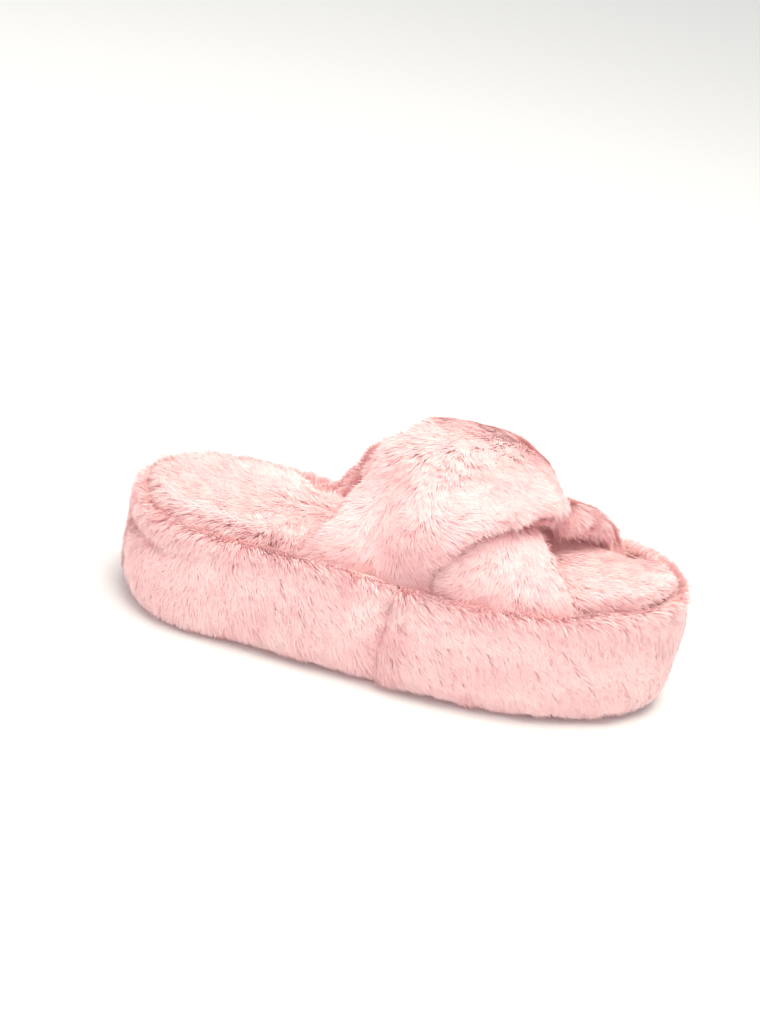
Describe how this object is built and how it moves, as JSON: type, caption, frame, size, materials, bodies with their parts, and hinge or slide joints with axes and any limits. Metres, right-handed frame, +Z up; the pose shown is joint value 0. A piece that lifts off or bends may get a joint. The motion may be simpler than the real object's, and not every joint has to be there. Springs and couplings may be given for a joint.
{
  "type": "fluffy house slipper",
  "caption": "Right-foot platform house slipper: a foam platform and footbed covered in pale pink faux fur, padded fur bands crossing over the foot, and a ribbed black rubber outsole.",
  "frame": {"origin": "middle of the bottom of the slipper's overall box, on the floor", "axes": "+X to the toe, +Y to the wearer's inner side, +Z up"},
  "size_m": [0.2754, 0.1256, 0.1131],
  "materials": {
    "faux_fur": "long soft pile of pale pink faux fur, cream at the tips and salmon at the roots",
    "lining_plush": "short pale pink plush",
    "outsole_rubber": "black pebble-grained moulded rubber, semi-matt",
    "platform_foam": "closed-cell EVA foam, matt",
    "soft_foam": "open-cell foam sheet",
    "fibre_board": "tan cellulose insole board, matt",
    "felt": "grey-beige needled felt",
    "thread": "twisted polyester thread"
  },
  "bodies": {
    "root": {"outsole": "outsole_rubber", "bottom_filler": "felt", "platform_core": "platform_foam", "wall_padding": "soft_foam", "toe_wrap": "faux_fur", "heel_wrap": "faux_fur", "top_seam_thread": "thread", "insole_board": "fibre_board", "footbed_foam": "soft_foam", "footbed_cover": "faux_fur", "under_band_shell": "faux_fur", "under_band_padding": "soft_foam", "under_band_lining": "lining_plush", "over_band_shell": "faux_fur", "over_band_padding": "soft_foam", "over_band_lining": "lining_plush"}
  },
  "joints": []
}
